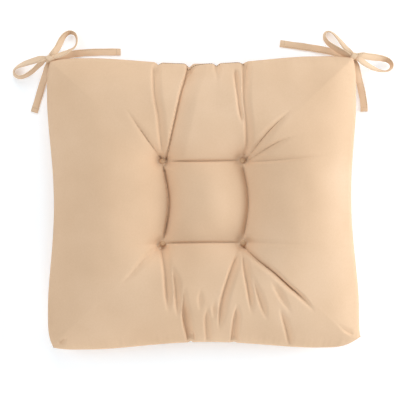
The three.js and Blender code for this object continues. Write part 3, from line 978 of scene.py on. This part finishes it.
def skin_shell(name, outer, inner, facing):
    """A thin closed cover: a fine outer skin and a coarser inner one, joined at the rim."""
    outer_ids = np.arange(outer.shape[0] * outer.shape[1]).reshape(outer.shape[:2])
    inner_ids = outer_ids.size + np.arange(inner.shape[0] * inner.shape[1]).reshape(inner.shape[:2])
    faces = valley_faces(outer_ids, outer[..., 2] * facing, flip=facing < 0)
    faces += grid_faces(inner_ids, flip=facing > 0)
    sides = (
        (outer_ids[0, :], inner_ids[0, :]), (outer_ids[:, -1], inner_ids[:, -1]),
        (outer_ids[-1, ::-1], inner_ids[-1, ::-1]), (outer_ids[::-1, 0], inner_ids[::-1, 0]),
    )
    for fine, coarse in sides:
        for index in range(len(coarse) - 1):
            run = fine[index * INNER_SKIP:(index + 1) * INNER_SKIP + 1].tolist()
            face = run[::-1] + coarse[index:index + 2].tolist()
            faces.append(tuple(face if facing > 0 else face[::-1]))
    points = [Vector(point) for point in np.concatenate([outer.reshape(-1, 3), inner.reshape(-1, 3)])]
    marks = [0] * len(faces)
    # The upper cover gets the dark stitches that paint the rear seam's shadow.
    if facing > 0:
        seam_shadow_stitches(outer, points, faces, marks)
    return add_mesh(name, points, faces, [COVER_CLOTH, SEAM_SHADOW_THREAD], marks)


def to_fractions(points):
    """Which fractions u and v of the pad lie at these places on the floor plan."""
    x, y = points.T
    u = x / (WIDTH / 2)
    v = y / (DEPTH / 2)
    for _ in range(6):
        at_x, at_y = plan(u, v)
        u = np.clip(u + (x - at_x) / (WIDTH / 2), -1, 1)
        v = np.clip(v + (y - at_y) / (DEPTH / 2), -1, 1)
    return u, v


def snapped(u, v):
    """The grid, with its nearest points slid on to the line of each fold so that the fold stays sharp."""
    rows, columns = u.shape
    shift_u = np.zeros(u.shape)
    shift_v = np.zeros(u.shape)
    pull = np.zeros(u.shape)
    for line in [crease_line(crease) for crease in CREASES] + [fold_line(fold[0]) for fold in FOLDS]:
        at_u, at_v = to_fractions(line)
        column = (at_u + 1) / 2 * (columns - 1)
        row = (at_v + 1) / 2 * (rows - 1)
        steep = abs(row[-1] - row[0]) > abs(column[-1] - column[0])
        along, across = (row, column) if steep else (column, row)
        order = np.argsort(along)
        for step in range(math.ceil(along.min()), math.floor(along.max()) + 1):
            exact = np.interp(step, along[order], across[order])
            nearest = round(exact)
            for offset in range(-SNAP_CELLS, SNAP_CELLS + 1):
                weight = 1 - abs(offset) / (SNAP_CELLS + 1)
                spot = (step, nearest + offset) if steep else (nearest + offset, step)
                if not (0 < spot[0] < rows - 1 and 0 < spot[1] < columns - 1) or weight <= pull[spot]:
                    continue
                pull[spot] = weight
                slide = 0.9 * weight * (exact - nearest)
                shift_u[spot] = slide * 2 / (columns - 1) if steep else 0
                shift_v[spot] = 0 if steep else slide * 2 / (rows - 1)
    return u + shift_u, v + shift_v


def held_down(x, y, free):
    """How far the tufts and creases hold the cloth below its free height; 0 where nothing holds it."""
    held = np.zeros(x.shape)
    for crease in CREASES:
        distance, share, _ = near_line(x, y, crease_line(crease))
        height = TUFT_TOP_Z + crease[3] * MM * 4 * share * (1 - share)
        held = np.where(distance < 0.35 * FINE_CELL, np.maximum(held, free - height), held)
    distance = from_tuft(x, y)
    height = TUFT_TOP_Z + WELL_SLOPE * np.maximum(distance - PINNED_RADIUS, 0)
    return np.where(distance < WELL_RADIUS, np.maximum(held, free - height), held)


def settled(held, x, y):
    """The dip that cloth blown up from below takes around what holds it down."""
    centre = (np.abs(x) < TUFTS["rear_right"].x) & (np.abs(y) < TUFTS["rear_right"].y)
    lift = np.where(centre, CENTRE_CURVE, LOBE_CURVE) * FINE_CELL**2 / 4
    chequers = np.indices(held.shape).sum(0) % 2
    dip = held.copy()
    for _ in range(SETTLE_ROUNDS):
        for colour in (0, 1):
            around = np.zeros(dip.shape)
            around[1:-1, 1:-1] = (dip[:-2, 1:-1] + dip[2:, 1:-1] + dip[1:-1, :-2] + dip[1:-1, 2:]) / 4
            wanted = np.maximum(held, dip + SETTLE_PACE * (around - lift - dip))
            dip = np.where(chequers == colour, wanted, dip)
    return dip


def crown_height(u, v):
    """How full the pad is, from 0 at the seam to 1, with a soft hip from each corner inward."""
    across = 1 - np.abs(u) ** CROWN_POWER
    along = 1 - np.abs(v) ** CROWN_POWER
    rear_right = smooth_step(np.clip(u, 0, 1) * np.clip(v, 0, 1), 0.2, 0.7)
    hip = HIP + (REAR_RIGHT_HIP - HIP) * rear_right
    return np.sqrt(np.clip((1 - hip) * across * along + hip * np.minimum(across, along), 0, 1))


def panels():
    """The two covers on the fine grid, before they swell."""
    cells = [round(size / FINE_CELL / INNER_SKIP) * INNER_SKIP + 1 for size in (DEPTH, WIDTH)]
    u, v = np.meshgrid(np.linspace(-1, 1, cells[1]), np.linspace(-1, 1, cells[0]))
    u, v = snapped(u, v)
    x, y = plan(u, v)
    crown = crown_height(u, v)
    free = SEAM_Z + (LOFT + FULLNESS - SEAM_Z) * crown
    dip = settled(held_down(x, y, free), x, y)
    upper = np.stack([x, y, free - dip], -1)
    out = normals_of(np.stack([x, y, free], -1))
    free = SEAM_Z - SEAM_Z * np.minimum(1, RESTING_SHARE * crown)
    beyond = np.maximum(from_tuft(x, y) - PINNED_RADIUS, 0) / LOWER_DIMPLE
    lower = np.stack([x, y, np.maximum(free, TUFT_BOTTOM_Z * np.exp(-(beyond**1.3)))], -1)
    return u, v, upper, lower, out


def add_cushion():
    """The covers, swollen by the simulation and then folded, and the fill inside them."""
    rng = np.random.default_rng(11)
    u, v, top, bottom, out = panels()
    rows, columns = (round(size / SIM_CELL) + 1 for size in (DEPTH, WIDTH))
    upper_swell, lower_swell = inflate(resampled(top, rows, columns), resampled(bottom, rows, columns))
    top = top + resampled(upper_swell, *top.shape[:2])
    bottom = bottom + resampled(lower_swell, *bottom.shape[:2])
    edge = np.maximum(np.abs(u), np.abs(v))
    inside = 1 - smooth_step(edge, 0.985, 1)
    x, y = plan(u, v)
    drawn = folded_in(x, y) * inside
    raised = seam_puckers(u, v, rng) + slow_swells(x, y, rng) * inside
    top = top + out * (raised - drawn - button_seats(top))[..., None]
    top[..., 2] = np.minimum(top[..., 2], COVER_TOP_LIMIT)
    raised = seam_puckers(u, v, rng) + slow_swells(x, y, rng) * inside
    bottom = bottom - normals_of(bottom) * (raised - button_seats(bottom))[..., None]
    bottom[..., 2] = np.maximum(bottom[..., 2], 0)
    clear = top.copy()
    clear[..., 2] += inside * (lowest_around(top[..., 2]) - top[..., 2])
    covers = (
        ("upper_cover", "cover_top", top, clear, 1),
        ("lower_cover", "cover_bottom", bottom, bottom, -1),
    )
    for name, node, outer, lining, facing in covers:
        inner = (lining - facing * normals_of(lining) * COVER_THICKNESS)[::INNER_SKIP, ::INNER_SKIP]
        cover = skin_shell(name, outer, inner, facing)
        enter(cover, node)
    add_fill(resampled(clear, rows, columns), resampled(bottom, rows, columns))


def lowest_around(heights):
    """The lowest height within a few cells of each point, clear of every fold."""
    lowest = heights.copy()
    for _ in range(INNER_SKIP + 1):
        for axis in (0, 1):
            lowest = np.minimum(lowest, np.minimum(np.roll(lowest, 1, axis), np.roll(lowest, -1, axis)))
    return lowest


def add_fill(upper, lower):
    """The fibre inside, a little smaller than the covers."""
    shrink = np.array([1 - 3 * FILL_INSET / WIDTH, 1 - 3 * FILL_INSET / DEPTH, 1])
    top = (upper - normals_of(upper) * FILL_INSET) * shrink
    bottom = (lower + normals_of(lower) * 0.4 * FILL_INSET) * shrink
    top[..., 2] = np.maximum(top[..., 2], SEAM_Z)
    bottom[..., 2] = np.minimum(bottom[..., 2], SEAM_Z)
    rim = rim_mask(upper.shape[:2])
    top[rim] = upper[rim] * shrink
    fill = closed_pad("fibre_filling", top, bottom, [FIBRE])[0]
    enter(fill, "fibre_fill")


# A button from just off its middle to under its edge: how far out and how high, as shares of its size.
BUTTON_PROFILE = (
    (0.25, 0.98), (0.5, 0.9), (0.72, 0.74), (0.88, 0.52),
    (0.98, 0.28), (1, 0.1), (0.94, -0.05), (0.7, -0.12),
)
BUTTON_SIDES = 36
BUTTON_REACH = 0.9 * BUTTON_RADIUS
BUTTON_RISE = 0.7 * BUTTON_HEIGHT


def button_piece(name, node, facing):
    """A covered button: a domed disc with the cloth gathered under its edge."""
    low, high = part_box(node)
    centre = centre_of(node)
    base = low[2] if facing > 0 else high[2]
    points = [Vector((centre.x, centre.y, base + facing * BUTTON_RISE))]
    for radius, rise in BUTTON_PROFILE:
        for corner in range(BUTTON_SIDES):
            angle = 2 * math.pi * corner / BUTTON_SIDES
            pleat = 1 + 0.025 * math.cos(9 * angle + centre.x * 300) * smooth_step(radius, 0.6, 1)
            reach = radius * pleat * BUTTON_REACH
            x = centre.x + reach * math.cos(angle)
            y = centre.y + reach * math.sin(angle)
            points.append(Vector((x, y, base + facing * rise * BUTTON_RISE)))
    faces = [(0, 1 + corner, 1 + (corner + 1) % BUTTON_SIDES) for corner in range(BUTTON_SIDES)]
    faces += ring_faces(len(BUTTON_PROFILE), BUTTON_SIDES, first=1, turned=True)
    faces.append(tuple(range(len(points) - 1, len(points) - 1 - BUTTON_SIDES, -1)))
    if facing < 0:
        faces = [face[::-1] for face in faces]
    # The darker button cloth is painted shade from the dimple round the button.
    return add_mesh(name, points, faces, [SHADE_DARKENED_BUTTON_CLOTH])


def add_buttons():
    for place in PLACES:
        for level, facing in (("top", 1), ("bottom", -1)):
            node = f"tuft_button_{level}_{place}"
            enter(button_piece(f"{level}_button_{place}", node, facing), node)


def dress_cords():
    for place in PLACES:
        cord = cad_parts["tufting_cord_" + place]
        cord.data.materials.clear()
        cord.data.materials.append(TUFTING_CORD)


# ---- floor and light

FLOOR_HALF = 4.0
FLOOR_Z = -0.3 * MM  # just clear of the underside
COOL_WHITE = (0.87, 0.94, 1)
# The lamps: where each is, how wide, and how strong.
LAMPS = {
    "right": ((1.6, 0, 0.5), 0.8, 21),
    "left": ((-1.4, 0.1, 1.3), 1.4, 12.5),
    "front": ((0, -1.6, 0.5), 0.8, 11),
    "rear": ((0.1, 1.4, 1.1), 1.4, 15),
}
WORLD_STRENGTH = 0.37


def add_stage():
    signs = ((-1, -1), (1, -1), (1, 1), (-1, 1))
    corners = [(x * FLOOR_HALF, y * FLOOR_HALF, FLOOR_Z) for x, y in signs]
    add_mesh("floor", corners, [(0, 1, 2, 3)], [floor_material()])


def add_area_light(name, place, size, energy):
    data = bpy.data.lights.new(name, "AREA")
    data.shape = "DISK"
    data.size = size
    data.energy = energy
    data.color = COOL_WHITE
    light = bpy.data.objects.new(name, data)
    light.location = place
    light.rotation_euler = (Vector((0, 0, SEAM_Z)) - Vector(place)).to_track_quat("-Z", "Y").to_euler()
    bpy.context.scene.collection.objects.link(light)


def add_lights():
    for name, (place, size, energy) in LAMPS.items():
        add_area_light(name, place, size, energy)
    world = bpy.data.worlds.new("studio")
    bpy.context.scene.world = world
    world.use_nodes = True
    background = world.node_tree.nodes["Background"]
    background.inputs["Color"].default_value = (*COOL_WHITE, 1)
    background.inputs["Strength"].default_value = WORLD_STRENGTH


add_camera()
add_ties()
add_cushion()
add_buttons()
dress_cords()
add_stage()
add_lights()
bpy.context.scene.view_settings.view_transform = "Standard"
